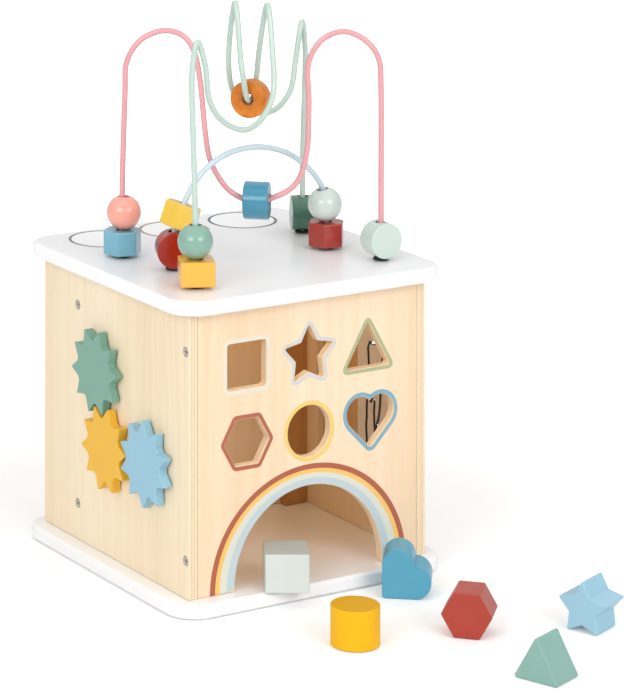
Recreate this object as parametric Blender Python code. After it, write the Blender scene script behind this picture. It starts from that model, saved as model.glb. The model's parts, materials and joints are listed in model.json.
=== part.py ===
"""Wooden activity cube.

The front panel is a shape sorter with six holes and an arched doorway. Three gears mesh on the left
side, a slotted maze board covers an opening on the right side, and a recessed back wall leaves an open
bay behind. Three bent wires carry twelve beads on top, and six blocks lie loose in front.

Frame: +X is the right side, -Y is the shape-sorter front and +Z is up. The origin is the middle of the
base plate's resting face.
"""
import math

import bmesh
import bpy
from mathutils import Euler, Matrix, Vector

# Carcass
BOX = 0.230             # width and depth over the panels
PANEL_HEIGHT = 0.227
PLY = 0.008             # panel thickness
PLATE = 0.012           # thickness of the base and top plates
PLATE_LIP = 0.015       # how far the plates stand out past the panels
PLATE_CORNER = 0.027
PLATE_ROUND = 0.003     # softened rim of the plates
FIT = 0.0003            # gap between pieces that touch

HALF = BOX / 2
INNER = HALF - PLY
FLOOR = PLATE
PANEL_TOP = FLOOR + PANEL_HEIGHT
DECK = PANEL_TOP + PLATE
BACK_WALL_Y = 0.055     # front face of the recessed back wall
BATTEN_WIDTH = 0.022
BATTEN_DEPTH = 0.009

# Front panel
HOLE_COLUMNS = (-0.060, 0.0, 0.060)
UPPER_ROW = 0.1912
LOWER_ROW = 0.1300
ARCH_RADIUS = 0.0718
ARCH_SPRING = 0.0025    # straight foot of the arch above the floor

# Loose blocks, and the clearance their holes have all round
BLOCK_LENGTH = 0.031
SQUARE_SIDE = 0.0356
CYLINDER_RADIUS = 0.0193
HEXAGON_RADIUS = 0.0202
TRIANGLE_SIDE = 0.0395
STAR_RADIUS = 0.0223
STAR_WAIST = 0.0122
HEART_SIDE = 0.0264
HEART_MIDDLE = 0.78     # height of its middle above its tip, in side lengths
HOLE_PLAY = 0.0009

# Gears on the left side
GEAR_TEETH = 10
GEAR_TIP = 0.0350
GEAR_ROOT = 0.0260
GEAR_THICKNESS = 0.008
GEAR_STANDOFF = 0.0012
GEAR_CENTRES = 0.062    # distance between meshing gears
GEAR_DOWEL = 0.004
MIDDLE_GEAR = (0.0031, 0.1025)
GREEN_DIRECTION = math.radians(75.3)
BLUE_DIRECTION = math.radians(176.2)
MIDDLE_PHASE = math.radians(-6.0)

# Side screws
SCREW_FRONT_Y = -HALF + 0.0045
SCREW_BACK_Y = BACK_WALL_Y + PLY / 2
SCREW_HEIGHTS = (0.0423, 0.2080)
SCREW_HEAD = 0.0033
SCREW_SHANK = 0.0015
SIDE_SCREW_LENGTH = 0.022
BOARD_SCREW_LENGTH = 0.010

# Maze board on the right side: its opening is (lowest Y, highest Y, lowest Z, highest Z)
OPENING = (-0.095, 0.033, 0.054, 0.198)
BOARD_LAP = 0.008
BOARD_THICKNESS = 0.004
SLOT_WIDTH = 0.0031
SLIDER_PIN = 0.0012
SLIDER_KNOB = 0.0065
SLIDER_DISC = 0.0042

# Wires and beads on the deck
WIRE = 0.0023
BORE = 0.0047
WASHER_RADIUS = 0.0067
WASHER_THICKNESS = 0.002
BEAD_LENGTH = 0.020
BEAD_RADIUS = 0.0160
DISC_RADIUS = 0.0146
SPHERE_RADIUS = 0.0144
SQUARE_BEAD = 0.028
FEET = {
    "pink_left": (-0.088, 0.032),
    "pink_right": (0.092, -0.085),
    "green_front": (-0.090, -0.085),
    "green_back": (0.090, 0.028),
    "blue_left": (-0.075, -0.028),
    "blue_right": (0.076, -0.028),
}
PLUGS = ((-0.111, 0.097), (0.111, 0.097))
PLUG_RADIUS = 0.0036
PLUG_DEPTH = 0.004

FACE_LEFT = (0.0, math.radians(-90), 0.0)
FACE_RIGHT = (0.0, math.radians(90), 0.0)
SIDE_SHEET = (math.radians(90), 0.0, math.radians(90))
FRONT_SHEET = (math.radians(90), 0.0, 0.0)


# ---------------------------------------------------------------- materials and objects

def clear_scene():
    for item in list(bpy.data.objects):
        bpy.data.objects.remove(item, do_unlink=True)


def material(name, colour, roughness, metallic=0.0):
    found = bpy.data.materials.get(name)
    if found:
        return found
    made = bpy.data.materials.new(name)
    made.use_nodes = True
    shader = made.node_tree.nodes["Principled BSDF"]
    shader.inputs["Base Color"].default_value = (*colour, 1.0)
    shader.inputs["Roughness"].default_value = roughness
    shader.inputs["Metallic"].default_value = metallic
    made.diffuse_color = (*colour, 1.0)
    return made


def plywood():
    return material("birch_plywood", (0.88, 0.74, 0.53), 0.55)


def white_lacquer():
    return material("white_lacquer", (0.90, 0.90, 0.91), 0.35)


def paint(name, colour):
    return material("paint_" + name, colour, 0.32)


def steel():
    return material("screw_steel", (0.42, 0.42, 0.42), 0.35, 1.0)


def rubber():
    return material("black_rubber", (0.02, 0.02, 0.02), 0.6)


def add(name, bm, surface, location=(0, 0, 0), rotation=(0, 0, 0), smooth_angle=35):
    bmesh.ops.recalc_face_normals(bm, faces=bm.faces)
    mesh = bpy.data.meshes.new(name)
    bm.to_mesh(mesh)
    bm.free()
    mesh.shade_smooth()
    mesh.set_sharp_from_angle(angle=math.radians(smooth_angle))
    if surface:
        mesh.materials.append(surface)
    made = bpy.data.objects.new(name, mesh)
    made.location = location
    made.rotation_euler = rotation
    bpy.context.scene.collection.objects.link(made)
    return made


def bevelled(item, width, segments=1):
    bevel = item.modifiers.new("edge", "BEVEL")
    bevel.width = width
    bevel.segments = segments
    bevel.limit_method = "ANGLE"
    bevel.angle_limit = math.radians(40)
    return item


def cut(item, cutter):
    cutter.hide_render = True
    cutter.display_type = "WIRE"
    boolean = item.modifiers.new("cut_" + cutter.name, "BOOLEAN")
    boolean.operation = "DIFFERENCE"
    boolean.solver = "EXACT"
    boolean.object = cutter
    return item


# ---------------------------------------------------------------- outlines

def arc(centre, radius, start, stop, steps):
    """Points of an arc in degrees, both ends included."""
    angles = [math.radians(start + (stop - start) * i / steps) for i in range(steps + 1)]
    return [(centre[0] + radius * math.cos(a), centre[1] + radius * math.sin(a)) for a in angles]


def circle(centre, radius, steps):
    return arc(centre, radius, 0, 360, steps)[:-1]


def polygon(centre, radius, corners, first=0.0):
    return arc(centre, radius, first, first + 360, corners)[:-1]


def rounded_rectangle(centre, width, height, radius, steps=4):
    points = []
    for quarter, (side, up) in enumerate(((1, 1), (-1, 1), (-1, -1), (1, -1))):
        corner = (centre[0] + side * (width / 2 - radius), centre[1] + up * (height / 2 - radius))
        points += arc(corner, radius, 90 * quarter, 90 * quarter + 90, steps)
    return points


def softened(outline, radius, steps=2):
    """The outline with each corner replaced by a short curve."""
    points = [Vector(p) for p in outline]
    rounded = []
    for i, corner in enumerate(points):
        before, after = points[i - 1] - corner, points[(i + 1) % len(points)] - corner
        reach = min(radius / math.tan(before.angle(after) / 2), 0.4 * before.length, 0.4 * after.length)
        start, end = corner + before.normalized() * reach, corner + after.normalized() * reach
        for k in range(steps + 1):
            t = k / steps
            rounded.append(start * (1 - t) ** 2 + 2 * corner * t * (1 - t) + end * t ** 2)
    return [(p.x, p.y) for p in rounded]


def star(centre, tip, waist):
    points = []
    for i in range(10):
        reach = tip if i % 2 == 0 else waist
        angle = math.radians(90 + 36 * i)
        points.append((centre[0] + reach * math.cos(angle), centre[1] + reach * math.sin(angle)))
    return points


def heart(centre, side, steps=8):
    """A square standing on its tip with a half round on each upper side."""
    half_diagonal = side / math.sqrt(2)
    middle = HEART_MIDDLE * side
    right = arc((half_diagonal / 2, 1.5 * half_diagonal - middle), side / 2, -45, 135, steps)
    left = arc((-half_diagonal / 2, 1.5 * half_diagonal - middle), side / 2, 45, 225, steps)
    points = [(0.0, -middle)] + right + left[1:]
    return [(centre[0] + u, centre[1] + v) for u, v in points]


def gear_outline():
    """Pointed teeth with slightly hollow flanks and a narrow rounded root."""
    pitch = 2 * math.pi / GEAR_TEETH
    flank = 0.030
    tooth = ((GEAR_TIP, -0.015), (GEAR_TIP, 0.015), (flank, 0.12),
             (GEAR_ROOT, pitch / 2 - 0.07), (GEAR_ROOT, pitch / 2 + 0.07), (flank, pitch - 0.12))
    points = []
    for k in range(GEAR_TEETH):
        for reach, turn in tooth:
            angle = k * pitch + turn
            points.append((reach * math.cos(angle), reach * math.sin(angle)))
    return points


def channel(path, width, end_steps=4):
    """Outline of a slot of even width that follows a path."""
    points = [Vector(p) for p in path]
    sides = []
    for i, here in enumerate(points):
        before = points[max(i - 1, 0)]
        after = points[min(i + 1, len(points) - 1)]
        along = (after - before).normalized()
        sides.append(Vector((-along.y, along.x)) * width / 2)
    left = [p + s for p, s in zip(points, sides)]
    right = [p - s for p, s in zip(points, sides)]
    outline = right[:]
    for end, side in ((points[-1], -sides[-1]), (points[0], sides[0])):
        for i in range(1, end_steps):
            outline.append(end + Matrix.Rotation(math.pi * i / end_steps, 2) @ side)
        if end is points[-1]:
            outline += left[::-1]
    return [(p.x, p.y) for p in outline]


# ---------------------------------------------------------------- solids

def sheet(outline, thickness, holes=(), centred=False):
    """A flat piece with its outline in XY, through holes, and its thickness along Z."""
    bm = bmesh.new()
    low = -thickness / 2 if centred else 0.0
    levels = (low, low + thickness)
    for loop in (outline, *holes):
        rings = [[bm.verts.new((u, v, z)) for u, v in loop] for z in levels]
        for i in range(len(loop)):
            bm.faces.new((rings[0][i - 1], rings[0][i], rings[1][i], rings[1][i - 1]))
    for z in levels:
        rim = [e for e in bm.edges if all(abs(v.co.z - z) < 1e-7 for v in e.verts)]
        bmesh.ops.triangle_fill(bm, use_beauty=True, use_dissolve=False, edges=rim)
    return bm


def turned(profile, steps=16, closed=False):
    """A lathe body about Z. An open profile starts and ends on the axis; a closed one is a ring."""
    bm = bmesh.new()
    columns = []
    for radius, z in profile:
        if radius < 1e-9:
            columns.append([bm.verts.new((0, 0, z))])
            continue
        turns = [2 * math.pi * i / steps for i in range(steps)]
        columns.append([bm.verts.new((radius * math.cos(a), radius * math.sin(a), z)) for a in turns])
    pairs = list(zip(columns, columns[1:]))
    if closed:
        pairs.append((columns[-1], columns[0]))
    for upper, lower in pairs:
        for i in range(steps):
            corners = [upper[i - 1 if len(upper) > 1 else 0], upper[i if len(upper) > 1 else 0],
                       lower[i if len(lower) > 1 else 0], lower[i - 1 if len(lower) > 1 else 0]]
            bm.faces.new(list(dict.fromkeys(corners)))
    return bm


def cylinders(centres, radius, low, high, steps=12):
    """Several upright pegs in one mesh, for drilling."""
    bm = bmesh.new()
    for x, y in centres:
        rings = [[bm.verts.new((u, v, z)) for u, v in circle((x, y), radius, steps)]
                 for z in (low, high)]
        for i in range(steps):
            bm.faces.new((rings[0][i - 1], rings[0][i], rings[1][i], rings[1][i - 1]))
        bm.faces.new(rings[0])
        bm.faces.new(rings[1])
    return bm


def smooth_path(points, steps):
    """A Catmull-Rom curve through the points."""
    ends = [points[0] * 2 - points[1]] + points + [points[-1] * 2 - points[-2]]
    path = []
    for a, b, c, d in zip(ends, ends[1:], ends[2:], ends[3:]):
        for i in range(steps):
            t = i / steps
            path.append(0.5 * (2 * b + (c - a) * t + (2 * a - 5 * b + 4 * c - d) * t ** 2
                               + (3 * b - a - 3 * c + d) * t ** 3))
    return path + [points[-1]]


def tube(path, radius, sides=8):
    """A round rod along a path, closed at both ends."""
    bm = bmesh.new()
    rings = []
    along = (path[1] - path[0]).normalized()
    across = along.orthogonal().normalized()
    for i, here in enumerate(path):
        ahead = (path[min(i + 1, len(path) - 1)] - path[max(i - 1, 0)]).normalized()
        across = (along.rotation_difference(ahead) @ across).normalized()
        along = ahead
        other = along.cross(across)
        turns = [2 * math.pi * k / sides for k in range(sides)]
        rings.append([bm.verts.new(here + radius * (math.cos(a) * across + math.sin(a) * other))
                      for a in turns])
    for near, far in zip(rings, rings[1:]):
        for k in range(sides):
            bm.faces.new((near[k - 1], near[k], far[k], far[k - 1]))
    bm.faces.new(rings[0])
    bm.faces.new(rings[-1])
    return bm


# ---------------------------------------------------------------- fasteners

def screw_profile(length, grow=0.0, above=0.0):
    """A countersunk screw along Z with its head at the top, or the same shape grown for a cutter."""
    top = above if above else -0.0005
    return [(0.0, top), (SCREW_HEAD + grow, top), (SCREW_HEAD + grow, -0.0012),
            (SCREW_SHANK + grow, -0.0034), (SCREW_SHANK + grow, -length - grow), (0.0, -length - grow)]


def screw_set(prefix, places, rotation, length):
    """Screws at several places, and one cutter object that drills all their holes."""
    joined = bmesh.new()
    for number, place in enumerate(places, start=1):
        add(f"{prefix}_{number}", turned(screw_profile(length), steps=10), steel(), place, rotation)
        drill = turned(screw_profile(length, grow=FIT, above=0.001), steps=10)
        drill.transform(Matrix.LocRotScale(Vector(place), Euler(rotation), None))
        loose = bpy.data.meshes.new("drill")
        drill.to_mesh(loose)
        drill.free()
        joined.from_mesh(loose)
        bpy.data.meshes.remove(loose)
    return add(prefix + "_cutter", joined, None)


# ---------------------------------------------------------------- carcass

def plate(name, low):
    side = BOX + 2 * PLATE_LIP
    outline = rounded_rectangle((0, 0), side, side, PLATE_CORNER, steps=6)
    return bevelled(add(name, sheet(outline, PLATE), white_lacquer(), (0, 0, low)), PLATE_ROUND, 2)


def make_plates():
    plate("base_plate", 0.0)
    top = plate("top_plate", PANEL_TOP)
    holes = cylinders(FEET.values(), WIRE + FIT, PANEL_TOP - 0.002, DECK + 0.002)
    cut(top, add("wire_hole_cutter", holes, None))
    sockets = cylinders(PLUGS, PLUG_RADIUS + FIT, DECK - PLUG_DEPTH - FIT, DECK + 0.002)
    cut(top, add("plug_cutter", sockets, None))
    for side, place in zip(("left", "right"), PLUGS):
        profile = [(0.0, 0.0), (PLUG_RADIUS, 0.0), (PLUG_RADIUS, -PLUG_DEPTH), (0.0, -PLUG_DEPTH)]
        add("top_plug_" + side, turned(profile, steps=12), white_lacquer(), (*place, DECK))


def upright(outline_low, outline_high, holes=(), arch=None):
    """A panel outline between two horizontal limits, standing from floor to top plate."""
    low, high = FLOOR + FIT, PANEL_TOP - FIT
    outline = [(outline_low, low), *(arch or ()), (outline_high, low),
               (outline_high, high), (outline_low, high)]
    return sheet(outline, PLY, holes)


def front_holes():
    left, middle, right = HOLE_COLUMNS
    grow = HOLE_PLAY
    triangle_radius = TRIANGLE_SIDE / math.sqrt(3) + 3 * grow
    return {
        "square": rounded_rectangle((left, UPPER_ROW), SQUARE_SIDE + 2 * grow,
                                    SQUARE_SIDE + 2 * grow, 0.003, steps=2),
        "star": softened(star((middle, UPPER_ROW), STAR_RADIUS + 3.4 * grow, STAR_WAIST + 1.4 * grow), 0.001),
        "triangle": softened(polygon((right - 0.0024, UPPER_ROW - 0.0052), triangle_radius, 3, 90), 0.002),
        "hexagon": softened(polygon((left, LOWER_ROW), HEXAGON_RADIUS + 1.3 * grow, 6), 0.002),
        "circle": circle((middle, LOWER_ROW), CYLINDER_RADIUS + 1.8 * grow, 28),
        "heart": heart((right, LOWER_ROW - 0.001), HEART_SIDE + 1.1 * grow),
    }


def make_front_panel():
    spring = FLOOR + ARCH_SPRING
    arch = [(-ARCH_RADIUS, FLOOR + FIT)] + arc((0, spring), ARCH_RADIUS, 180, 0, 28)
    arch += [(ARCH_RADIUS, FLOOR + FIT)]
    bm = upright(-INNER + FIT, INNER - FIT, front_holes().values(), arch)
    return add("front_panel", bm, plywood(), (0, -INNER, 0), FRONT_SHEET)


def make_back_wall():
    bm = upright(-INNER + FIT, INNER - FIT)
    wall = add("back_wall", bm, plywood(), (0, BACK_WALL_Y + PLY, 0), FRONT_SHEET)
    for name, side in (("left_batten", -1), ("right_batten", 1)):
        edge = INNER - FIT
        outline = [(-edge, 0), (-edge + BATTEN_WIDTH, 0), (-edge + BATTEN_WIDTH, -BATTEN_DEPTH),
                   (-edge, -BATTEN_DEPTH)]
        bar = sheet([(-side * u, v) for u, v in outline], PANEL_HEIGHT - 2 * FIT)
        add(name, bar, plywood(), (0, BACK_WALL_Y - FIT, FLOOR + FIT))
    return wall


def screw_places(x):
    return [(x, y, z) for y in (SCREW_FRONT_Y, SCREW_BACK_Y) for z in SCREW_HEIGHTS]


def make_carcass():
    make_plates()
    front = make_front_panel()
    wall = make_back_wall()
    gear_bores = [circle(place, GEAR_DOWEL + FIT, 16) for place in gear_places().values()]
    left = add("left_panel", upright(-HALF, HALF, gear_bores), plywood(), (-HALF, 0, 0), SIDE_SHEET)
    low_y, high_y, low_z, high_z = OPENING
    middle = ((low_y + high_y) / 2, (low_z + high_z) / 2)
    opening = rounded_rectangle(middle, high_y - low_y, high_z - low_z, 0.008, steps=4)
    right = add("right_panel", upright(-HALF, HALF, [opening]), plywood(), (INNER, 0, 0), SIDE_SHEET)
    left_cutter = screw_set("left_screw", screw_places(-HALF), FACE_LEFT, SIDE_SCREW_LENGTH)
    right_cutter = screw_set("right_screw", screw_places(HALF), FACE_RIGHT, SIDE_SCREW_LENGTH)
    cut(left, left_cutter)
    cut(right, right_cutter)
    for crossing in (front, wall):
        cut(crossing, left_cutter)
        cut(crossing, right_cutter)
    make_maze(right)


# ---------------------------------------------------------------- left side: gears

def gear_places():
    """Gear centres as (Y, Z)."""
    def along(angle):
        return (MIDDLE_GEAR[0] + GEAR_CENTRES * math.cos(angle),
                MIDDLE_GEAR[1] + GEAR_CENTRES * math.sin(angle))
    return {"green": along(GREEN_DIRECTION), "yellow": MIDDLE_GEAR, "blue": along(BLUE_DIRECTION)}


def meshing_phase(direction):
    """Turn of an outer gear whose valley takes the middle gear's tooth."""
    return 2 * direction - MIDDLE_PHASE + math.pi + math.pi / GEAR_TEETH


def make_gears():
    colours = {"green": (0.23, 0.47, 0.39), "yellow": (0.93, 0.55, 0.09), "blue": (0.36, 0.62, 0.74)}
    phases = {"green": meshing_phase(GREEN_DIRECTION), "yellow": MIDDLE_PHASE,
              "blue": meshing_phase(BLUE_DIRECTION)}
    back = -HALF - GEAR_STANDOFF
    socket = 0.006
    for name, (y, z) in gear_places().items():
        bm = sheet(gear_outline(), GEAR_THICKNESS)
        bmesh.ops.rotate(bm, verts=bm.verts, matrix=Matrix.Rotation(phases[name], 3, "Z"))
        gear = add(name + "_gear", bm, paint(name + "_gear", colours[name]),
                   (back - GEAR_THICKNESS, y, z), SIDE_SHEET)
        drill = cylinders([(0, 0)], GEAR_DOWEL + FIT, GEAR_THICKNESS - socket, GEAR_THICKNESS + 0.002,
                          steps=16)
        cut(gear, add(name + "_gear_cutter", drill, None, gear.location, SIDE_SHEET))
        tip = -HALF - GEAR_STANDOFF - socket + FIT
        head_face = -INNER + FIT
        head = 0.004
        profile = [(0.0, tip), (GEAR_DOWEL, tip), (GEAR_DOWEL, head_face), (0.008, head_face),
                   (0.008, head_face + head), (0.0, head_face + head)]
        add(name + "_gear_dowel", turned(profile), plywood(), (0, y, z), FACE_RIGHT)


# ---------------------------------------------------------------- right side: maze board

def maze_slots():
    """Slot centre lines as (Y, Z). The two middle ones meet at their lower ends."""
    return {
        "back": ((-0.0318, 0.0820), (-0.0304, 0.0970), (-0.0313, 0.1040), (-0.0313, 0.1120),
                 (-0.0345, 0.1500), (-0.0332, 0.1630), (-0.0355, 0.1680), (-0.0450, 0.1688)),
        "short": ((-0.0370, 0.1186), (-0.0400, 0.1216), (-0.0426, 0.1195), (-0.0419, 0.1100),
                  (-0.0426, 0.0990), (-0.0434, 0.0950)),
        "middle": ((-0.0426, 0.0942), (-0.0461, 0.1014), (-0.0486, 0.1070), (-0.0503, 0.1152),
                   (-0.0535, 0.1520), (-0.0555, 0.1650), (-0.0610, 0.1760)),
        "front": ((-0.0840, 0.0760), (-0.0800, 0.0900), (-0.0790, 0.1020), (-0.0790, 0.1500),
                  (-0.0750, 0.1700), (-0.0670, 0.1810)),
    }


def make_maze(wall):
    low_y, high_y, low_z, high_z = (OPENING[0] - BOARD_LAP, OPENING[1] + BOARD_LAP,
                                    OPENING[2] - BOARD_LAP, OPENING[3] + BOARD_LAP)
    middle = ((low_y + high_y) / 2, (low_z + high_z) / 2)
    outline = rounded_rectangle(middle, high_y - low_y, high_z - low_z, 0.010, steps=4)
    back = HALF + FIT
    board = add("maze_board", sheet(outline, BOARD_THICKNESS), plywood(), (back, 0, 0), SIDE_SHEET)
    for name, path in maze_slots().items():
        slot = sheet(channel(path, SLOT_WIDTH), 2 * BOARD_THICKNESS)
        cut(board, add(name + "_slot_cutter", slot, None, (back - BOARD_THICKNESS / 2, 0, 0), SIDE_SHEET))
    inset = 0.005
    face = back + BOARD_THICKNESS
    places = [(face, y, z) for y in (low_y + inset, high_y - inset)
              for z in (low_z + inset, high_z - inset)]
    cutter = screw_set("board_screw", places, FACE_RIGHT, BOARD_SCREW_LENGTH)
    cut(board, cutter)
    cut(wall, cutter)
    make_sliders(face)


def make_sliders(face):
    places = {"coral_slider": (-0.0334, 0.137), "blue_slider": (-0.0522, 0.137),
              "yellow_slider": (-0.0790, 0.137)}
    colours = {"coral_slider": (0.80, 0.30, 0.24), "blue_slider": (0.28, 0.55, 0.68),
               "yellow_slider": (0.93, 0.62, 0.12)}
    back = -BOARD_THICKNESS - FIT
    profile = [(0.0, 0.0075), (0.0040, 0.0075), (0.0058, 0.0062), (SLIDER_KNOB, 0.0040),
               (SLIDER_KNOB, 0.0014), (0.0055, FIT), (SLIDER_PIN, FIT), (SLIDER_PIN, back),
               (SLIDER_DISC, back), (SLIDER_DISC, back - 0.0018), (0.0, back - 0.0018)]
    for name, (y, z) in places.items():
        add(name, turned(profile, steps=14), paint(name, colours[name]), (face, y, z), FACE_RIGHT)


# ---------------------------------------------------------------- wires

def leg(foot, *heights):
    return [Vector((*FEET[foot], z)) for z in heights]


def lean(foot, aside, height):
    """A point of a leg that leans a little to the right or left by the time it reaches a height."""
    x, y = FEET[foot]
    return [Vector((x + 0.87 * aside, y - 0.5 * aside, height))]


def pink_path():
    """An M in the upright plane through its two feet: pairs of distance along and height."""
    bends = ((0.0035, 0.412), (0.014, 0.430), (0.032, 0.4390), (0.048, 0.4365), (0.0585, 0.4250),
             (0.0645, 0.400), (0.0690, 0.355), (0.0735, 0.331), (0.0850, 0.311), (0.0985, 0.3010),
             (0.1115, 0.2990), (0.1245, 0.3010), (0.1440, 0.3130), (0.1532, 0.339), (0.1550, 0.380),
             (0.1545, 0.412), (0.1650, 0.4320), (0.1835, 0.4400), (0.2015, 0.4330), (0.2125, 0.418))
    start, end = Vector(FEET["pink_left"]), Vector(FEET["pink_right"])
    along = (end - start).normalized()
    spans = [Vector((*(start + along * s), z)) for s, z in bends]
    up = leg("pink_left", 0.2405, 0.310) + lean("pink_left", 0.0022, 0.386)
    return up + spans + leg("pink_right", 0.392, 0.310, 0.2405)


def green_path():
    """Up from the front foot, two high loops around the middle, and down to the back foot."""
    bends = ((-0.0915, -0.0838, 0.430), (-0.0868, -0.0835, 0.4470), (-0.079, -0.0828, 0.427),
             (-0.0735, -0.0803, 0.3985), (-0.0585, -0.0765, 0.3795), (-0.0345, -0.0724, 0.3692),
             (-0.0115, -0.0638, 0.3752), (0.003, -0.0580, 0.394), (0.0072, -0.0503, 0.4255),
             (0.0108, -0.0374, 0.4622), (0.0112, -0.0260, 0.430), (0.0112, -0.0203, 0.400),
             (0.0075, -0.0230, 0.3865), (0.0, -0.0285, 0.3828), (-0.0075, -0.0340, 0.3865),
             (-0.0127, -0.0372, 0.402), (-0.0135, -0.0340, 0.4184), (-0.0112, -0.0226, 0.4635),
             (-0.0079, -0.0083, 0.4303), (-0.0055, -0.0045, 0.399), (0.004, -0.001, 0.3790),
             (0.0225, 0.0045, 0.3650), (0.048, 0.0082, 0.3636), (0.0687, 0.0148, 0.3775),
             (0.0772, 0.0196, 0.4016), (0.0862, 0.0236, 0.4327), (0.0913, 0.0262, 0.412))
    spans = [Vector(p) for p in bends]
    up = leg("green_front", 0.2405, 0.310) + lean("green_front", -0.0018, 0.374)
    down = lean("green_back", 0.0020, 0.385) + leg("green_back", 0.310, 0.2405)
    return up + lean("green_front", -0.0027, 0.410) + spans + down


def blue_path():
    """A low arch across the deck."""
    start, end = FEET["blue_left"], FEET["blue_right"]
    bends = ((-0.0740, 0.282), (-0.0685, 0.2950), (-0.0607, 0.3115), (-0.0460, 0.3285), (-0.0230, 0.3405),
             (0.006, 0.3432), (0.034, 0.3362), (0.0560, 0.3220), (0.0712, 0.3040), (0.0760, 0.2880))
    spans = [Vector((x, start[1], z)) for x, z in bends]
    assert abs(start[1] - end[1]) < FIT
    return leg("blue_left", 0.2405, 0.262) + spans + leg("blue_right", 0.272, 0.2405)


def make_wires():
    colours = {"pink": (0.85, 0.42, 0.46), "green": (0.66, 0.78, 0.72), "blue": (0.74, 0.83, 0.87)}
    paths = {"pink": pink_path(), "green": green_path(), "blue": blue_path()}
    for name, points in paths.items():
        bm = tube(smooth_path(points, 3), WIRE)
        add(name + "_wire", bm, material(name + "_wire_coat", colours[name], 0.3), smooth_angle=60)
    ring = [(WIRE + FIT, FIT), (WASHER_RADIUS, FIT), (WASHER_RADIUS, FIT + WASHER_THICKNESS),
            (WIRE + FIT, FIT + WASHER_THICKNESS)]
    for foot, (x, y) in FEET.items():
        add("washer_" + foot, turned(ring, closed=True), rubber(), (x, y, DECK))


# ---------------------------------------------------------------- beads

BEAD_FLOOR = DECK + WASHER_THICKNESS + 2 * FIT
LOW_BEAD = BEAD_FLOOR + BEAD_LENGTH / 2
LOW_DISC = BEAD_FLOOR + DISC_RADIUS
STACKED = BEAD_FLOOR + BEAD_LENGTH + FIT + math.sqrt(SPHERE_RADIUS ** 2 - BORE ** 2)


def sphere_bead(name, colour, place, rotation=(0, 0, 0)):
    opening = math.degrees(math.asin(BORE / SPHERE_RADIUS))
    outside = [(r, z) for z, r in arc((0, 0), SPHERE_RADIUS, opening, 180 - opening, 12)]
    add(name, turned(outside, steps=20, closed=True), paint(name, colour), place, rotation)


def prism_bead(name, colour, outline, place, rotation=(0, 0, 0), length=BEAD_LENGTH):
    bm = sheet(outline, length, [circle((0, 0), BORE, 14)], centred=True)
    return add(name, bm, paint(name, colour), place, rotation)


def disc_bead(name, colour, place, facing):
    """A wheel standing on its rim: the wire runs through its diameter. It faces an angle about Z."""
    turn = (math.radians(90), 0, math.radians(facing + 90))
    bm = sheet(circle((0, 0), DISC_RADIUS, 28), BEAD_LENGTH, centred=True)
    disc = bevelled(add(name, bm, paint(name, colour), place, turn), 0.0008)
    drill = cylinders([(0, 0)], BORE, -2 * DISC_RADIUS, 2 * DISC_RADIUS, steps=14)
    return cut(disc, add(name + "_cutter", drill, None, place))


def make_beads():
    hexagon = polygon((0, 0), BEAD_RADIUS, 6)
    x, y = FEET["pink_left"]
    prism_bead("blue_hexagon_bead", (0.21, 0.47, 0.60), hexagon, (x, y, LOW_BEAD),
               (0, 0, math.radians(-16.4)))
    sphere_bead("coral_sphere_bead", (0.86, 0.33, 0.27), (x + 0.0012, y - 0.0006, STACKED))

    x, y = FEET["green_front"]
    square = rounded_rectangle((0, 0), SQUARE_BEAD, SQUARE_BEAD, 0.002, steps=1)
    prism_bead("yellow_square_bead", (0.94, 0.61, 0.12), square, (x + 0.0009, y - 0.0005, LOW_BEAD),
               (0, 0, math.radians(-25.9)))
    sphere_bead("sage_sphere_bead", (0.25, 0.50, 0.41), (x, y, STACKED))

    x, y = FEET["blue_left"]
    disc_bead("red_disc_bead", (0.53, 0.05, 0.03), (x, y, LOW_DISC), -115)
    lean = math.radians(19)
    prism_bead("yellow_hexagon_bead", (0.95, 0.60, 0.05), hexagon, (-0.0684, y, 0.2946),
               (0, lean, math.radians(-14)))

    x, y = FEET["blue_right"]
    prism_bead("red_hexagon_bead", (0.62, 0.11, 0.08), hexagon, (x, y, LOW_BEAD),
               (0, 0, math.radians(-9.7)))
    sphere_bead("mint_sphere_bead", (0.62, 0.76, 0.67), (x - 0.0012, y, STACKED + 0.0004),
                (0, math.radians(-12), 0))

    disc_bead("green_disc_bead", (0.13, 0.33, 0.25), (*FEET["green_back"], LOW_DISC), 153)
    disc_bead("pale_disc_bead", (0.70, 0.82, 0.76), (*FEET["pink_right"], LOW_DISC), -95)

    round_outline = circle((0, 0), BEAD_RADIUS - 0.0005, 28)
    lying = math.radians(90)
    prism_bead("blue_cylinder_bead", (0.13, 0.38, 0.56), round_outline, (0.0058, -0.0290, 0.2989),
               (0, lying, math.radians(-41.0)), length=0.021)
    prism_bead("orange_disc_bead", (0.80, 0.29, 0.03), round_outline, (0.0, -0.0285, 0.3843),
               (0, lying, math.radians(36.4)), length=0.015)


# ---------------------------------------------------------------- loose blocks

def block(name, colour, outline, place, yaw, tilt=0.0):
    """A block lying on a long side, its end face turned by yaw about Z and rolled by tilt."""
    bm = sheet(outline, BLOCK_LENGTH, centred=True)
    bmesh.ops.rotate(bm, verts=bm.verts, matrix=Matrix.Rotation(math.radians(tilt), 3, "Z"))
    made = add(name, bm, paint(name, colour), place, (math.radians(90), 0, math.radians(yaw)))
    return bevelled(made, 0.0008)


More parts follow.
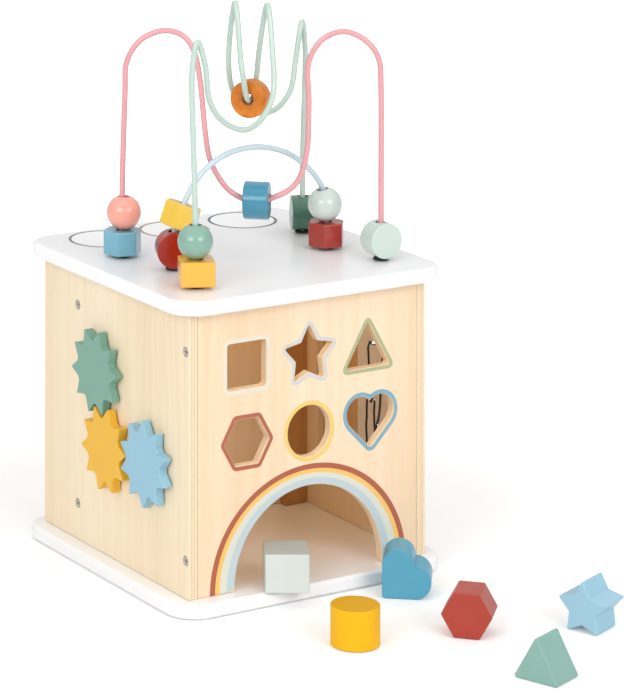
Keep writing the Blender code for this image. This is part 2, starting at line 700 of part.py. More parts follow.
def make_blocks():
    square = rounded_rectangle((0, 0), SQUARE_SIDE, SQUARE_SIDE, 0.002, steps=1)
    cube = add("square_block", sheet(square, BLOCK_LENGTH, centred=True),
               paint("square_block", (0.72, 0.82, 0.76)),
               (-0.0290, -0.1245, FLOOR + FIT + BLOCK_LENGTH / 2), (0, 0, math.radians(-29.7)))
    bevelled(cube, 0.0008)
    round_block = sheet(circle((0, 0), CYLINDER_RADIUS, 32), BLOCK_LENGTH, centred=True)
    drum = add("round_block", round_block, paint("round_block", (0.94, 0.56, 0.03)),
               (-0.0357, -0.2306, BLOCK_LENGTH / 2))
    bevelled(drum, 0.0008)
    block("hexagon_block", (0.60, 0.08, 0.05), polygon((0, 0), HEXAGON_RADIUS, 6),
          (0.0561, -0.2541, HEXAGON_RADIUS * math.cos(math.radians(30))), -45.4)
    block("triangle_block", (0.32, 0.54, 0.44), polygon((0, 0), TRIANGLE_SIDE / math.sqrt(3), 3, 90),
          (0.0491, -0.3592, TRIANGLE_SIDE / math.sqrt(12)), -69.1)
    block("star_block", (0.44, 0.67, 0.78), star((0, 0), STAR_RADIUS, STAR_WAIST),
          (0.1460, -0.2924, STAR_RADIUS * math.cos(math.radians(36))), -67.8)
    tip_to_middle = HEART_SIDE * HEART_MIDDLE / math.sqrt(2)
    block("heart_block", (0.12, 0.40, 0.56), heart((0, 0), HEART_SIDE),
          (0.0632, -0.1530, tip_to_middle), -38, tilt=-45)


clear_scene()
make_carcass()
make_gears()
make_wires()
make_beads()
make_blocks()
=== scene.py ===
"""Looks of the wooden activity cube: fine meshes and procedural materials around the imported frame."""
import json
import math

import bmesh
import bpy
from mathutils import Euler, Matrix, Vector


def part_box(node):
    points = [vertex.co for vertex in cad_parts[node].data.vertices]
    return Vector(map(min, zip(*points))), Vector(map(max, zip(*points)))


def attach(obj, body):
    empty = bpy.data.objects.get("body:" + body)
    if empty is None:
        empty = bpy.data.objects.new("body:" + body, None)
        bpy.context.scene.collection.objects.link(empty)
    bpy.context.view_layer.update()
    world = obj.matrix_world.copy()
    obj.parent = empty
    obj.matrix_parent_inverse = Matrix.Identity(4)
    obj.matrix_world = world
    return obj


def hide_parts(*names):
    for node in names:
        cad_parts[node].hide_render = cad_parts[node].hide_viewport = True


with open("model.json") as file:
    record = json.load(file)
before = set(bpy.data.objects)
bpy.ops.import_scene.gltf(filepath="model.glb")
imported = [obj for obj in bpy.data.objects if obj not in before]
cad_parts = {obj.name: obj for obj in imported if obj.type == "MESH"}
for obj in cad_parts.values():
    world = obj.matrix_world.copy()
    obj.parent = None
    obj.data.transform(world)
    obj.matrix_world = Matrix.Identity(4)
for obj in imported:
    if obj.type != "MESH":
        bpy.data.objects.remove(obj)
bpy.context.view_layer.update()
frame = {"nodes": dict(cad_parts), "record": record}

RECORD = frame["record"]
BODY = {node: body for body, nodes in RECORD["behaviour"]["bodies"].items() for node in nodes}

# Sizes in metres. The carcass sizes are read from the frame.
PLATE_CORNER = 0.027
PLATE_RIM = 0.0032
PANEL_RIM = 0.0004
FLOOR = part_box("base_plate")[1].z
PANEL_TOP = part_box("top_plate")[0].z
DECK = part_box("top_plate")[1].z
PLATE_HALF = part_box("base_plate")[1].x
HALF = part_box("right_panel")[1].x
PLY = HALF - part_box("right_panel")[0].x
INNER = HALF - PLY
PANEL_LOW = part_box("left_panel")[0].z
PANEL_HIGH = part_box("left_panel")[1].z
INK = 0.00012            # thickness of printed paint
OUTLINE_WIDTH = 0.0036   # painted band round a hole

HOLE_COLUMNS = (-0.060, 0.0, 0.060)
UPPER_ROW = 0.1912
LOWER_ROW = 0.1300
TRIANGLE_CENTRE = (HOLE_COLUMNS[2] - 0.0024, UPPER_ROW - 0.0052)
HOLE_PLAY = 0.0009
ARCH_RADIUS = 0.0718
ARCH_SPRING = 0.0025
RAINBOW_RADII = (0.0952, 0.0904, 0.0862, 0.0796)
RAINBOW_CROWN = (0.0914, 0.0872, 0.0838, 0.0800)
RING_RADIUS = 0.0291
RING_LINE = 0.0024
RING_Y = 0.092
RING_X = (-0.070, 0.0, 0.070)

BLOCK_LENGTH = 0.031
SQUARE_SIDE = 0.0356
CYLINDER_RADIUS = 0.0193
HEXAGON_RADIUS = 0.0202
TRIANGLE_SIDE = 0.0395
STAR_RADIUS = 0.0223
STAR_WAIST = 0.0122
HEART_SIDE = 0.0264
HEART_MIDDLE = 0.78
BLOCK_RIM = 0.0009

GEARS = ("green", "yellow", "blue")
GEAR_TEETH = 10
GEAR_TIP = 0.0350
GEAR_ROOT = 0.0260
GEAR_DOWEL = 0.004
MIDDLE_PHASE = math.radians(-6.0)

GAP = 0.0003             # play round a dowel, a wire, a plug or a screw's shank
OVERSHOOT = 0.001        # how far a cutter reaches past the surface it cuts
SCREW_HEAD = 0.0036
SCREW_SHANK = 0.0015
SCREW_SINK = 0.0005      # how deep a head lies below the surface
HEAD_EDGE = 0.0012       # where the cone under a head starts, and where it ends
HEAD_DEPTH = 0.0034
PLUG_RADIUS = 0.0036
PLUG_DEPTH = 0.004
BOARD_LAP = 0.008
KNOB_HEIGHT = 0.0075
WIRE = 0.00245
WIRE_END = 0.2405        # height of the wires' ends, inside the top plate
BORE = 0.0047
BEAD_LENGTH = 0.020
BEAD_RADIUS = 0.0160
DISC_RADIUS = 0.0146
SPHERE_RADIUS = 0.0144
SQUARE_BEAD = 0.028
BEAD_RIM = 0.0013
FEET = {
    "pink_left": (-0.088, 0.032),
    "pink_right": (0.092, -0.085),
    "green_front": (-0.090, -0.085),
    "green_back": (0.090, 0.028),
    "blue_left": (-0.075, -0.028),
    "blue_right": (0.076, -0.028),
}

SIDE_SHEET = (math.radians(90), 0.0, math.radians(90))
FRONT_SHEET = (math.radians(90), 0.0, 0.0)
FACE_LEFT = (0.0, math.radians(-90), 0.0)
FACE_RIGHT = (0.0, math.radians(90), 0.0)
UPRIGHT = (0.0, 0.0, 0.0)

CAMERA_PLACE = Vector((-1.5341, -2.3758, 0.9268))
CAMERA_TURN = math.radians(-29.68)
ASIDE = Vector((0.87, -0.5, 0.0))
CAMERA_LENS = 175.1
CAMERA_SHIFT = (0.387, -1.301)

# Strength of the surroundings at the horizon and overhead, as light and as seen in a shiny surface.
WORLD_LIGHT = (0.42, 1.02)
MIRRORED_LIGHT = (0.42, 1.30)

# The floor's own light to the camera, from under the object outwards, over a distance from its middle.
FLOOR_FILL = (0.15, 0.80)
FLOOR_REACH = (0.28, 1.1)
FLOOR_SIZE = 14.0

# Paint colours as display values from 0 to 255.
PAINTS = {
    "green_gear": (125, 169, 153),
    "yellow_gear": (239, 185, 57),
    "blue_gear": (150, 195, 216),
    "blue_hexagon_bead": (116, 176, 198),
    "coral_sphere_bead": (247, 166, 148),
    "yellow_square_bead": (244, 182, 62),
    "sage_sphere_bead": (132, 173, 157),
    "red_disc_bead": (159, 21, 4),
    "yellow_hexagon_bead": (238, 195, 66),
    "red_hexagon_bead": (162, 44, 29),
    "mint_sphere_bead": (202, 215, 208),
    "green_disc_bead": (65, 111, 93),
    "pale_disc_bead": (198, 214, 207),
    "blue_cylinder_bead": (61, 140, 169),
    "square_block": (210, 218, 214),
    "round_block": (241, 182, 19),
    "heart_block": (85, 162, 189),
    "hexagon_block": (173, 63, 47),
    "triangle_block": (136, 176, 166),
    "star_block": (155, 198, 217),
    "coral_slider": (226, 132, 116),
    "blue_slider": (112, 168, 194),
    "yellow_slider": (240, 188, 76),
}
WIRE_COATS = {"pink": (226, 160, 164), "green": (190, 210, 200), "blue": (196, 214, 222)}


# ---------------------------------------------------------------- shader building blocks

def linear(red, green, blue):
    """A display colour in 0 to 255 as linear light."""
    def channel(value):
        value /= 255
        return value / 12.92 if value <= 0.04045 else ((value + 0.055) / 1.055) ** 2.4
    return (channel(red), channel(green), channel(blue), 1.0)


class Surface:
    """A material under construction, with short calls for the nodes it needs."""

    def __init__(self, name, roughness=0.4):
        self.material = bpy.data.materials.new(name)
        self.material.use_nodes = True
        self.tree = self.material.node_tree
        self.shader = self.tree.nodes["Principled BSDF"]
        self.shader.inputs["Roughness"].default_value = roughness
        self.coordinates = self.node("TexCoord")

    def node(self, kind, inputs=None, **settings):
        """A node with its settings, and its inputs given as values or fed by other nodes."""
        made = self.tree.nodes.new("ShaderNode" + kind)
        for key, value in settings.items():
            setattr(made, key, value)
        for key, value in (inputs or {}).items():
            self.feed(made.inputs[key], value)
        return made

    def feed(self, target, value):
        if isinstance(value, bpy.types.NodeSocket):
            self.tree.links.new(value, target)
        else:
            target.default_value = value

    def put(self, name, value):
        self.feed(self.shader.inputs[name], value)

    def stretched(self, scale):
        place = self.coordinates.outputs["Object"]
        return self.node("Mapping", {"Vector": place, "Scale": scale}).outputs["Vector"]

    def noise(self, scale, stretch=(1, 1, 1), detail=3.0, distortion=0.0):
        inputs = {"Vector": self.stretched(stretch), "Scale": scale, "Detail": detail,
                  "Distortion": distortion}
        return self.node("TexNoise", inputs).outputs["Fac"]

    def bands(self, scale, stretch, distortion):
        return self.waves(scale, stretch, distortion, wave_type="BANDS", bands_direction="X")

    def rings(self, scale, stretch, distortion):
        return self.waves(scale, stretch, distortion, wave_type="RINGS", rings_direction="Z")

    def waves(self, scale, stretch, distortion, **settings):
        inputs = {"Vector": self.stretched(stretch), "Scale": scale, "Distortion": distortion,
                  "Detail": 3.0, "Detail Scale": 1.2}
        return self.node("TexWave", inputs, **settings).outputs["Fac"]

    def spread(self, value, low, high, source=(0.0, 1.0)):
        """The value carried over from the source range to low and high, and held there beyond it."""
        inputs = {"Value": value, "From Min": source[0], "From Max": source[1], "To Min": low, "To Max": high}
        return self.node("MapRange", inputs).outputs["Result"]

    def math(self, operation, first, second=0.0):
        return self.node("Math", {0: first, 1: second}, operation=operation).outputs["Value"]

    def mix(self, factor, first, second):
        return self.node("Mix", {0: factor, 6: first, 7: second}, data_type="RGBA").outputs[2]

    def axes(self, output):
        return self.node("SeparateXYZ", {0: self.coordinates.outputs[output]}).outputs

    def bump(self, height, strength, distance, under=None):
        inputs = {"Height": height, "Strength": strength, "Distance": distance}
        if under:
            inputs["Normal"] = under
        return self.node("Bump", inputs).outputs["Normal"]


def wood_grain(surface, light, dark, stretch, figure=0.22):
    """Irregular streaks, a faint cathedral figure and fine fibres, all drawn out along one axis."""
    thin = tuple(0.02 if part < 1 else 1 for part in stretch)
    wide = surface.spread(surface.noise(15, stretch, 3.0, 0.3), 0.0, 1.0, (0.36, 0.70))
    streaks = surface.spread(surface.noise(110, thin, 4.0), 0.0, 1.0, (0.36, 0.72))
    fibre = surface.noise(1300, thin, 4.0)
    pores = surface.spread(surface.noise(800, thin, 1.0), 0.0, 1.0, (0.66, 0.76))
    where = surface.spread(surface.noise(11, stretch, 1.0), 0.0, 1.0, (0.50, 0.62))
    lines = surface.math("POWER", surface.bands(24.0, stretch, 14.0), 2.0)
    tone = surface.math("MULTIPLY", surface.math("MULTIPLY", lines, where), figure)
    for part, weight in ((wide, 0.34), (streaks, 0.24), (fibre, 0.28), (pores, 0.16)):
        tone = surface.math("ADD", tone, surface.math("MULTIPLY", part, weight))
    return surface.mix(tone, light, dark), fibre


def plywood(name, light, dark):
    """Plywood: veneer on the flat sides and the plies' layers on every cut edge."""
    surface = Surface(name, 0.46)
    face, fibre = wood_grain(surface, light, dark, (1, 0.07, 1))
    depth = surface.math("DIVIDE", surface.axes("Object")["Z"], PLY / 3)
    layer = surface.math("FLOOR", depth)
    within = surface.math("SUBTRACT", depth, layer)
    glue = surface.spread(surface.math("ABSOLUTE", surface.math("SUBTRACT", within, 0.5)), 0.0, 1.0,
                          (0.40, 0.485))
    inner = surface.math("COMPARE", layer, 1.0)
    end_grain = surface.noise(1100, (1, 1, 0.35), 3.0)
    outer_ply = surface.mix(end_grain, linear(251, 233, 204), linear(236, 210, 174))
    inner_ply = surface.mix(end_grain, linear(247, 226, 194), linear(226, 196, 156))
    edge = surface.mix(inner, outer_ply, inner_ply)
    edge = surface.mix(surface.math("MULTIPLY", glue, 0.7), edge, linear(166, 128, 92))
    side = surface.spread(surface.math("ABSOLUTE", surface.axes("Normal")["Z"]), 1.0, 0.0, (0.45, 0.55))
    surface.put("Base Color", surface.mix(side, face, edge))
    surface.put("Roughness", surface.spread(fibre, 0.40, 0.56))
    surface.put("Normal", surface.bump(fibre, 0.25, 0.0001))
    return surface.material


def solid_wood(name, light, dark):
    """Wood with its grain along Z."""
    surface = Surface(name)
    face, fibre = wood_grain(surface, light, dark, (1, 1, 0.07), 0.5)
    surface.put("Base Color", face)
    surface.put("Roughness", surface.spread(fibre, 0.45, 0.6))
    surface.put("Normal", surface.bump(fibre, 0.25, 0.0001))
    return surface.material


def white_lacquer():
    surface = Surface("white_lacquer")
    cloud = surface.noise(14, detail=2.0)
    surface.put("Base Color", surface.mix(cloud, linear(249, 249, 249), linear(245, 245, 246)))
    surface.put("Roughness", surface.spread(surface.noise(60), 0.26, 0.36))
    surface.put("Coat Weight", 0.3)
    surface.put("Coat Roughness", 0.15)
    peel = surface.bump(surface.noise(420, detail=1.0), 0.10, 0.0002)
    surface.put("Normal", surface.bump(surface.noise(2600, (1, 0.05, 1)), 0.04, 0.0001, peel))
    return surface.material


def paint(node, grain=(1, 1, 0.07), ends=1.0, shine=1.0):
    """Paint with the wood's relief showing faintly. Its end faces can be darker, by ends: painted shade on an
    upright block's top and bottom.
    """
    surface = Surface("paint_" + node)
    base = linear(*PAINTS[node])
    shade = tuple(part * 0.95 for part in base[:3]) + (1.0,)
    cloud = surface.spread(surface.noise(42, detail=3.0), 0.0, 1.0, (0.30, 0.70))
    fibre = surface.noise(1300, grain, 3.0)
    worn = surface.math("ADD", surface.math("MULTIPLY", cloud, 0.7), surface.math("MULTIPLY", fibre, 0.3))
    colour = surface.mix(worn, base, shade)
    # ends paints shade on the end faces, the top and bottom of an upright block, where less light falls from
    # above.
    if ends != 1.0:
        along = surface.math("ABSOLUTE", surface.axes("Normal")["Z"])
        dark = tuple(part * ends for part in base[:3]) + (1.0,)
        colour = surface.mix(surface.spread(along, 0.0, 1.0, (0.6, 0.9)), colour, dark)
    surface.put("Base Color", colour)
    dullness = 0.56 - 0.22 * shine
    surface.put("Roughness", surface.spread(surface.noise(160), dullness - 0.05, dullness + 0.05))
    surface.put("Specular IOR Level", 0.15 + 0.1 * shine)
    surface.put("Coat Weight", 0.9 * shine)
    surface.put("Coat Roughness", 0.14)
    peel = surface.bump(surface.noise(480, detail=1.0), 0.06, 0.0002)
    surface.put("Normal", surface.bump(fibre, 0.05, 0.0001, peel))
    return surface.material


def stained_wood():
    """Orange stain over end grain, darker where it soaked in."""
    surface = Surface("orange_stain")
    rings = surface.rings(26.0, (1, 0.35, 1), 5.0)
    soak = surface.spread(surface.noise(95, detail=4.0, distortion=0.6), 0.0, 1.0, (0.42, 0.70))
    fibre = surface.noise(1500, (1, 0.2, 1))
    tone = surface.math("ADD", surface.math("MULTIPLY", rings, 0.45), surface.math("MULTIPLY", fibre, 0.30))
    wood = surface.mix(tone, linear(230, 138, 34), linear(200, 104, 20))
    surface.put("Base Color", surface.mix(surface.math("MULTIPLY", soak, 0.65), wood, linear(164, 86, 22)))
    surface.put("Roughness", surface.spread(fibre, 0.34, 0.48))
    surface.put("Specular IOR Level", 0.25)
    surface.put("Coat Weight", 0.25)
    surface.put("Normal", surface.bump(fibre, 0.2, 0.0001))
    return surface.material


def wire_coat(name):
    """Smooth plastic coat with a slight unevenness along the wire."""
    surface = Surface(name + "_wire_coat")
    base = linear(*WIRE_COATS[name])
    dim = tuple(c * 0.93 for c in base[:3]) + (1.0,)
    surface.put("Base Color", surface.mix(surface.noise(45, detail=2.0), base, dim))
    surface.put("Roughness", surface.spread(surface.noise(240), 0.20, 0.32))
    surface.put("Coat Weight", 0.3)
    surface.put("Normal", surface.bump(surface.noise(330, detail=1.0), 0.08, 0.0002))
    return surface.material


def black_rubber():
    surface = Surface("black_rubber")
    dust = surface.noise(900, detail=3.0)
    surface.put("Base Color", surface.mix(dust, linear(20, 20, 21), linear(44, 43, 42)))
    surface.put("Roughness", surface.spread(dust, 0.50, 0.72))
    surface.put("Normal", surface.bump(surface.noise(1800), 0.25, 0.0001))
    return surface.material


def zinc():
    """Zinc-plated steel with fine turning marks round the head."""
    surface = Surface("screw_steel")
    marks = surface.rings(900.0, (1, 1, 1), 1.0)
    stain = surface.noise(700, detail=4.0)
    surface.put("Metallic", 0.6)
    surface.put("Base Color", surface.mix(stain, linear(212, 208, 202), linear(168, 163, 156)))
    surface.put("Roughness", surface.spread(stain, 0.30, 0.52))
    surface.put("Normal", surface.bump(marks, 0.12, 0.00005))
    return surface.material


def ink(name, colour, strength=0.93):
    """Screen-printed paint that lets a trace of the wood through."""
    surface = Surface("print_" + name, 0.42)
    base = linear(*colour)
    fibre = surface.noise(1500, (1, 0.06, 1), 4.0)
    thin = surface.spread(fibre, 0.0, 1.0, (0.58, 0.78))
    wood = linear(240, 214, 174)
    surface.put("Base Color", surface.mix(surface.math("MULTIPLY", thin, 1 - strength), base, wood))
    surface.put("Roughness", surface.spread(fibre, 0.34, 0.50))
    surface.put("Normal", surface.bump(fibre, 0.2, 0.0001))
    return surface.material


def board_paint():
    """Slotted board: natural wood behind, white paint in front, near-black slot walls, a toasted rim."""
    surface = Surface("maze_board_paint")
    wood, fibre = wood_grain(surface, linear(232, 200, 156), linear(196, 152, 104), (1, 1, 0.07))
    low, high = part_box("maze_board")
    place = surface.axes("Object")
    front = surface.spread(place["Y"], 1.0, 0.0, (-0.0183, -0.0178))
    white = surface.mix(surface.noise(180), linear(238, 236, 234), linear(222, 219, 217))
    # The walls of the slots are coloured near black.
    dark_slot_wall = surface.mix(surface.noise(700, (1, 1, 0.2)), linear(58, 38, 28), linear(22, 16, 14))
    toasted = surface.mix(surface.noise(500, (1, 0.3, 0.3)), linear(190, 146, 100), linear(150, 106, 68))
    reach = []
    for axis, start, stop in (("Y", low.y, high.y), ("Z", low.z, high.z)):
        off_centre = surface.math("ABSOLUTE", surface.math("SUBTRACT", place[axis], (start + stop) / 2))
        reach.append(surface.math("SUBTRACT", off_centre, (stop - start) / 2))
    rim = surface.spread(surface.math("MAXIMUM", *reach), 0.0, 1.0, (-0.0042, -0.0038))
    cut = surface.spread(surface.math("ABSOLUTE", surface.axes("Normal")["X"]), 1.0, 0.0, (0.4, 0.6))
    edge = surface.mix(rim, dark_slot_wall, toasted)
    surface.put("Base Color", surface.mix(cut, surface.mix(front, wood, white), edge))
    surface.put("Roughness", surface.spread(fibre, 0.36, 0.5))
    surface.put("Normal", surface.bump(fibre, 0.18, 0.0001))
    return surface.material


# ---------------------------------------------------------------- outlines, all anticlockwise

def arc(centre, radius, start, stop, steps):
    angles = [math.radians(start + (stop - start) * i / steps) for i in range(steps + 1)]
    return [(centre[0] + radius * math.cos(a), centre[1] + radius * math.sin(a)) for a in angles]


def circle(centre, radius, steps=72):
    return arc(centre, radius, 0, 360, steps)[:-1]


def polygon(centre, radius, corners, first=0.0):
    return arc(centre, radius, first, first + 360, corners)[:-1]


def rectangle(low, high):
    return [(low[0], low[1]), (high[0], low[1]), (high[0], high[1]), (low[0], high[1])]


def softened(outline, radius, steps=6):
    """The outline with each corner replaced by an arc."""
    points = [Vector(p) for p in outline]
    rounded = []
    for i, corner in enumerate(points):
        before, after = points[i - 1] - corner, points[(i + 1) % len(points)] - corner
        half = before.angle(after) / 2
        reach = min(radius / math.tan(half), 0.46 * before.length, 0.46 * after.length)
        bend = reach * math.tan(half)
        middle = (before.normalized() + after.normalized()).normalized() * (bend / math.sin(half))
        start = corner + before.normalized() * reach - corner - middle
        end = corner + after.normalized() * reach - corner - middle
        turn = start.angle_signed(end)
        for k in range(steps + 1):
            spoke = Matrix.Rotation(-turn * k / steps, 2) @ start
            rounded.append(tuple(corner + middle + spoke))
    return rounded


def star(centre, tip, waist):
    points = []
    for i in range(10):
        reach = tip if i % 2 == 0 else waist
        angle = math.radians(90 + 36 * i)
        points.append((centre[0] + reach * math.cos(angle), centre[1] + reach * math.sin(angle)))
    return points


def heart(centre, side, tip_radius=0.003):
    """A square standing on its tip with a half round on each upper side."""
    half_diagonal = side / math.sqrt(2)
    middle = HEART_MIDDLE * side
    right = arc((half_diagonal / 2, 1.5 * half_diagonal - middle), side / 2, -45, 135, 26)
    left = arc((-half_diagonal / 2, 1.5 * half_diagonal - middle), side / 2, 45, 225, 26)
    tip = arc((0.0, -middle + tip_radius * math.sqrt(2)), tip_radius, 225, 315, 6)
    return [(centre[0] + u, centre[1] + v) for u, v in tip + right + left[1:]]


def gear_outline():
    """Pointed teeth with slightly hollow flanks and a narrow rounded root."""
    pitch = 2 * math.pi / GEAR_TEETH
    flank = 0.030
    tooth = ((GEAR_TIP, -0.015), (GEAR_TIP, 0.015), (flank, 0.12),
             (GEAR_ROOT, pitch / 2 - 0.07), (GEAR_ROOT, pitch / 2 + 0.07), (flank, pitch - 0.12))
    points = []
    for k in range(GEAR_TEETH):
        for reach, turn in tooth:
            angle = k * pitch + turn
            points.append((reach * math.cos(angle), reach * math.sin(angle)))
    return softened(points, 0.0009, steps=3)


def moved(outline, distance):
    """The outline shifted sideways, outwards where distance is positive."""
    points = [Vector(p) for p in outline]
    shifted = []
    for i, here in enumerate(points):
        ahead = (points[(i + 1) % len(points)] - here).normalized()
        behind = (here - points[i - 1]).normalized()
        first, second = Vector((behind.y, -behind.x)), Vector((ahead.y, -ahead.x))
        mitre = (first + second) / max(0.2, 1 + first.dot(second))
        shifted.append(tuple(here + mitre * distance))
    return shifted


# ---------------------------------------------------------------- meshes

def slab(outline, low, high, rim=BLOCK_RIM, holes=(), steps=3):
    """A flat piece in XY between two heights, with rounded rims on its outline and its holes."""
    bm = bmesh.new()
    turns = [math.pi / 2 * i / steps for i in range(steps + 1)] if rim else [0.0]
    lower = [(rim * (1 - math.sin(a)), low + rim * (1 - math.cos(a))) for a in turns]
    upper = [(inset, high + low - z) for inset, z in reversed(lower)]
    profile = lower + upper
    for loop, inwards in [(outline, -1)] + [(hole, 1) for hole in holes]:
        rings = [[bm.verts.new((u, v, z)) for u, v in moved(loop, inwards * inset)]
                 for inset, z in profile]
        for near, far in zip(rings, rings[1:]):
            for i in range(len(loop)):
                bm.faces.new((near[i - 1], near[i], far[i], far[i - 1]))
    for z in (low, high):
        edges = [e for e in bm.edges if all(abs(v.co.z - z) < 1e-7 for v in e.verts)]
        bmesh.ops.triangle_fill(bm, use_beauty=True, use_dissolve=False, edges=edges)
    return bm


def turned(profile, steps=48, closed=False):
    """A lathe body about Z. An open profile starts and ends on the axis; a closed one is a ring."""
    bm = bmesh.new()
    columns = []
    for radius, z in profile:
        turns = [2 * math.pi * i / steps for i in range(steps)] if radius > 1e-9 else [0.0]
        columns.append([bm.verts.new((radius * math.cos(a), radius * math.sin(a), z)) for a in turns])
    pairs = list(zip(columns, columns[1:]))
    if closed:
        pairs.append((columns[-1], columns[0]))
    for upper, lower in pairs:
        for i in range(steps):
            corners = [upper[i - 1 if len(upper) > 1 else 0], upper[i if len(upper) > 1 else 0],
                       lower[i if len(lower) > 1 else 0], lower[i - 1 if len(lower) > 1 else 0]]
            bm.faces.new(list(dict.fromkeys(corners)))
    return bm


def round_cutter(radius, top, bottom, steps):
    """A plain cylinder about Z."""
    return turned([(0, top), (radius, top), (radius, bottom), (0, bottom)], steps)


def smooth_path(points, steps):
    """A Catmull-Rom curve through the points."""
    ends = [points[0] * 2 - points[1]] + points + [points[-1] * 2 - points[-2]]
    path = []
    for a, b, c, d in zip(ends, ends[1:], ends[2:], ends[3:]):
        for i in range(steps):
            t = i / steps
            path.append(0.5 * (2 * b + (c - a) * t + (2 * a - 5 * b + 4 * c - d) * t ** 2
                               + (3 * b - a - 3 * c + d) * t ** 3))
    return path + [points[-1]]


def tube(path, radius):
    """A round rod along a path, closed at both ends."""
    sides = 20
    bm = bmesh.new()
    rings = []
    along = (path[1] - path[0]).normalized()
    across = along.orthogonal().normalized()
    for i, here in enumerate(path):
        ahead = (path[min(i + 1, len(path) - 1)] - path[max(i - 1, 0)]).normalized()
        across = (along.rotation_difference(ahead) @ across).normalized()
        along = ahead
        other = along.cross(across)
        turns = [2 * math.pi * k / sides for k in range(sides)]
        rings.append([bm.verts.new(here + radius * (math.cos(a) * across + math.sin(a) * other))
                      for a in turns])
    for near, far in zip(rings, rings[1:]):
        for k in range(sides):
            bm.faces.new((near[k - 1], near[k], far[k], far[k - 1]))
    bm.faces.new(rings[0])
    bm.faces.new(rings[-1])
    return bm


def drilled(bm, cutters):
    """The mesh with the cutters' shapes taken out of it."""
    objects = []
    for source in (bm, *cutters):
        bmesh.ops.recalc_face_normals(source, faces=source.faces)
        mesh = bpy.data.meshes.new("work")
        source.to_mesh(mesh)
        source.free()
        made = bpy.data.objects.new("work", mesh)
        bpy.context.scene.collection.objects.link(made)
        objects.append(made)
    body = objects[0]
    for cutter in objects[1:]:
        boolean = body.modifiers.new("cut", "BOOLEAN")
        boolean.operation = "DIFFERENCE"
        boolean.solver = "EXACT"
        boolean.object = cutter
    shape = body.evaluated_get(bpy.context.evaluated_depsgraph_get()).to_mesh()
    result = bmesh.new()
    result.from_mesh(shape)
    body.evaluated_get(bpy.context.evaluated_depsgraph_get()).to_mesh_clear()
    for made in objects:
        mesh = made.data
        bpy.data.objects.remove(made)
        bpy.data.meshes.remove(mesh)
    return result


def piece(name, bm, surface, node=None, location=(0, 0, 0), rotation=(0, 0, 0), body=None, sharp=38):
    """Places a mesh, rides it on the node's body and, where a node is given, stands in for it."""
    bmesh.ops.recalc_face_normals(bm, faces=bm.faces)
    mesh = bpy.data.meshes.new(name)
    bm.to_mesh(mesh)
    bm.free()
    mesh.shade_smooth()
    mesh.set_sharp_from_angle(angle=math.radians(sharp))
    mesh.materials.append(surface)
    made = bpy.data.objects.new(name, mesh)
    made.location = location
    made.rotation_euler = rotation
    bpy.context.scene.collection.objects.link(made)
    normals = made.modifiers.new("flat_faces", "WEIGHTED_NORMAL")
    normals.keep_sharp = True
    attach(made, body or BODY[node])
    if node:
        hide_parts(node)
    return made


def middle(node):
    low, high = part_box(node)
    return (Vector(low) + Vector(high)) / 2


def in_world(bm, location, rotation):
    bm.transform(Matrix.LocRotScale(Vector(location), Euler(rotation), None))
    return bm


def gear_centre(name):
    joint = next(j for j in RECORD["behaviour"]["joints"] if j["child"] == name + "_gear")
    return joint["pos_m"][1], joint["pos_m"][2]


# ---------------------------------------------------------------- carcass

def make_plates(lacquer):
    corners = rectangle((-PLATE_HALF, -PLATE_HALF), (PLATE_HALF, PLATE_HALF))
    outline = softened(corners, PLATE_CORNER, steps=14)
    base = slab(outline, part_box("base_plate")[0].z, FLOOR, PLATE_RIM, steps=6)
    piece("base_plate_fine", base, lacquer, "base_plate")
    top = slab(outline, PANEL_TOP, DECK, PLATE_RIM, steps=6)
    cutters = []
    for x, y in FEET.values():
        well = round_cutter(WIRE + GAP, DECK + OVERSHOOT, PANEL_TOP - OVERSHOOT, 24)
        cutters.append(in_world(well, (x, y, 0), UPRIGHT))
    for side in ("left", "right"):
        centre = middle("top_plug_" + side)
        place = (centre.x, centre.y, DECK)
        socket = round_cutter(PLUG_RADIUS + GAP, OVERSHOOT, -PLUG_DEPTH - GAP, 32)
        cutters.append(in_world(socket, place, UPRIGHT))
        plug = slab(circle((0, 0), PLUG_RADIUS, 36), -PLUG_DEPTH, 0.0, 0.0003)
        piece(f"top_plug_{side}_fine", plug, lacquer, "top_plug_" + side, place)
    piece("top_plate_fine", drilled(top, cutters), lacquer, "top_plate")


def star_shape(margin, corner):
    tip = STAR_RADIUS + 3.4 * HOLE_PLAY + 1.7 * margin
    waist = STAR_WAIST + 1.4 * HOLE_PLAY + 1.02 * margin
    return softened(star((HOLE_COLUMNS[1], UPPER_ROW), tip, waist), corner)


def triangle_shape(margin, corner):
    radius = TRIANGLE_SIDE / math.sqrt(3) + 3 * HOLE_PLAY + 1.8 * margin
    return softened(polygon(TRIANGLE_CENTRE, radius, 3, 90), corner)


def hexagon_shape(margin, corner):
    radius = HEXAGON_RADIUS + 1.3 * HOLE_PLAY + 1.12 * margin
    return softened(polygon((HOLE_COLUMNS[0], LOWER_ROW), radius, 6), corner)


def hole_outlines():
    """The six holes in the front panel, in the panel's own plane."""
    left, centre, right = HOLE_COLUMNS
    half = SQUARE_SIDE / 2 + HOLE_PLAY
    square = rectangle((left - half, UPPER_ROW - half), (left + half, UPPER_ROW + half))
    return {
        "square": softened(square, 0.003),
        "star": star_shape(0.0, 0.0014),
        "triangle": triangle_shape(0.0, 0.002),
        "hexagon": hexagon_shape(0.0, 0.002),
        "circle": circle((centre, LOWER_ROW), CYLINDER_RADIUS + 1.8 * HOLE_PLAY, 96),
        "heart": heart((right, LOWER_ROW - 0.001), HEART_SIDE + 1.1 * HOLE_PLAY),
    }


def band_edges():
    """Outer edges of the paint round the holes. Three have rounder corners than their holes."""
    edges = {name: moved(outline, OUTLINE_WIDTH) for name, outline in hole_outlines().items()}
    edges["star"] = star_shape(OUTLINE_WIDTH, 0.0042)
    edges["triangle"] = triangle_shape(OUTLINE_WIDTH, 0.0042)
    edges["hexagon"] = hexagon_shape(OUTLINE_WIDTH, 0.0050)
    return edges


